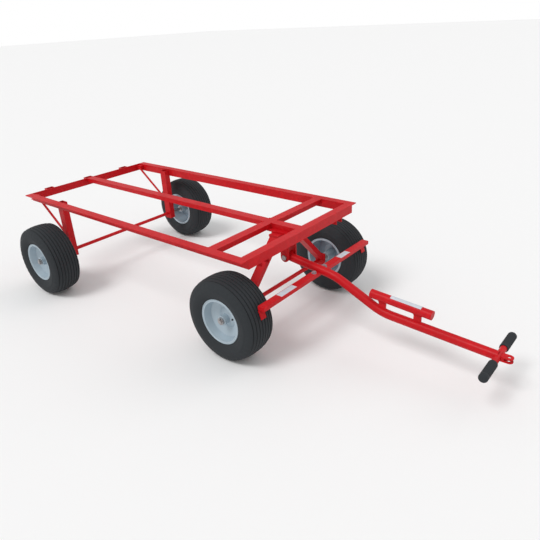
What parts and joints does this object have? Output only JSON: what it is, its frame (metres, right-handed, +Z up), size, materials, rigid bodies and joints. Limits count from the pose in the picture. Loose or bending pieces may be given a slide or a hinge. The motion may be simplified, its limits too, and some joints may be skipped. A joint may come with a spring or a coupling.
{
  "type": "four-wheel utility trailer running gear",
  "caption": "Hand-towed utility trailer running gear: open angle-iron bed, steering front truck, tongue with brake bar and handle, turf wheels.",
  "frame": {"origin": "on the ground under the middle of the overall length and width", "axes": "+X forward along the tongue, +Y to the left, +Z up"},
  "size_m": [2.815, 1.265, 0.52],
  "materials": {
    "red_paint": "gloss powder coat",
    "tyre_rubber": "matt rubber",
    "wheel_paint": "pale grey-blue satin paint",
    "grip_rubber": "satin rubber",
    "plated_steel": "dull zinc plate"
  },
  "bodies": {
    "frame": {"side_rail_left": "red_paint", "side_rail_right": "red_paint", "front_rail": "red_paint", "rear_rail": "red_paint", "cross_member": "red_paint", "centre_rail": "red_paint", "nose_rail": "red_paint", "rear_stake_pockets": "red_paint", "front_stake_pockets": "red_paint", "rear_leg_left": "red_paint", "rear_leg_right": "red_paint", "rear_brace_left": "red_paint", "rear_brace_right": "red_paint", "rear_axle": "plated_steel", "rear_axle_collars": "plated_steel", "pivot_plate": "red_paint", "king_bolt": "plated_steel", "king_nut": "plated_steel"},
    "truck": {"truck_plate": "red_paint", "truck_leg_left": "red_paint", "truck_leg_right": "red_paint", "axle_feet": "red_paint", "front_axle": "plated_steel", "front_axle_collars": "plated_steel", "tongue_lugs": "red_paint", "tongue_pin": "plated_steel"},
    "tongue": {"tongue_tube": "red_paint", "pivot_sleeve": "red_paint", "handle_bar": "red_paint", "grip_left": "grip_rubber", "grip_right": "grip_rubber", "hitch_clevis": "red_paint", "brake_bar": "red_paint", "brake_shoes": "red_paint", "grab_tube": "red_paint", "grab_posts": "red_paint"},
    "front_left_wheel": {"front_left_tyre": "tyre_rubber", "front_left_rim": "wheel_paint"},
    "front_right_wheel": {"front_right_tyre": "tyre_rubber", "front_right_rim": "wheel_paint"},
    "rear_left_wheel": {"rear_left_tyre": "tyre_rubber", "rear_left_rim": "wheel_paint"},
    "rear_right_wheel": {"rear_right_tyre": "tyre_rubber", "rear_right_rim": "wheel_paint"}
  },
  "joints": [
    {"name": "truck_steer", "type": "hinge", "parent": "frame", "child": "truck", "pos_m": [0.2815, 0, 0.4865], "axis": [0, 0, 1], "range_deg": [-45, 45]},
    {"name": "tongue_lift", "type": "hinge", "parent": "truck", "child": "tongue", "pos_m": [0.3065, 0, 0.357], "axis": [0, -1, 0], "range_deg": [0, 30]},
    {"name": "front_left_wheel_spin", "type": "hinge", "parent": "truck", "child": "front_left_wheel", "pos_m": [0.2815, 0.421, 0.206], "axis": [0, 1, 0], "continuous": true},
    {"name": "front_right_wheel_spin", "type": "hinge", "parent": "truck", "child": "front_right_wheel", "pos_m": [0.2815, -0.421, 0.206], "axis": [0, 1, 0], "continuous": true},
    {"name": "rear_left_wheel_spin", "type": "hinge", "parent": "frame", "child": "rear_left_wheel", "pos_m": [-1.0685, 0.5475, 0.206], "axis": [0, 1, 0], "continuous": true},
    {"name": "rear_right_wheel_spin", "type": "hinge", "parent": "frame", "child": "rear_right_wheel", "pos_m": [-1.0685, -0.5475, 0.206], "axis": [0, 1, 0], "continuous": true}
  ]
}
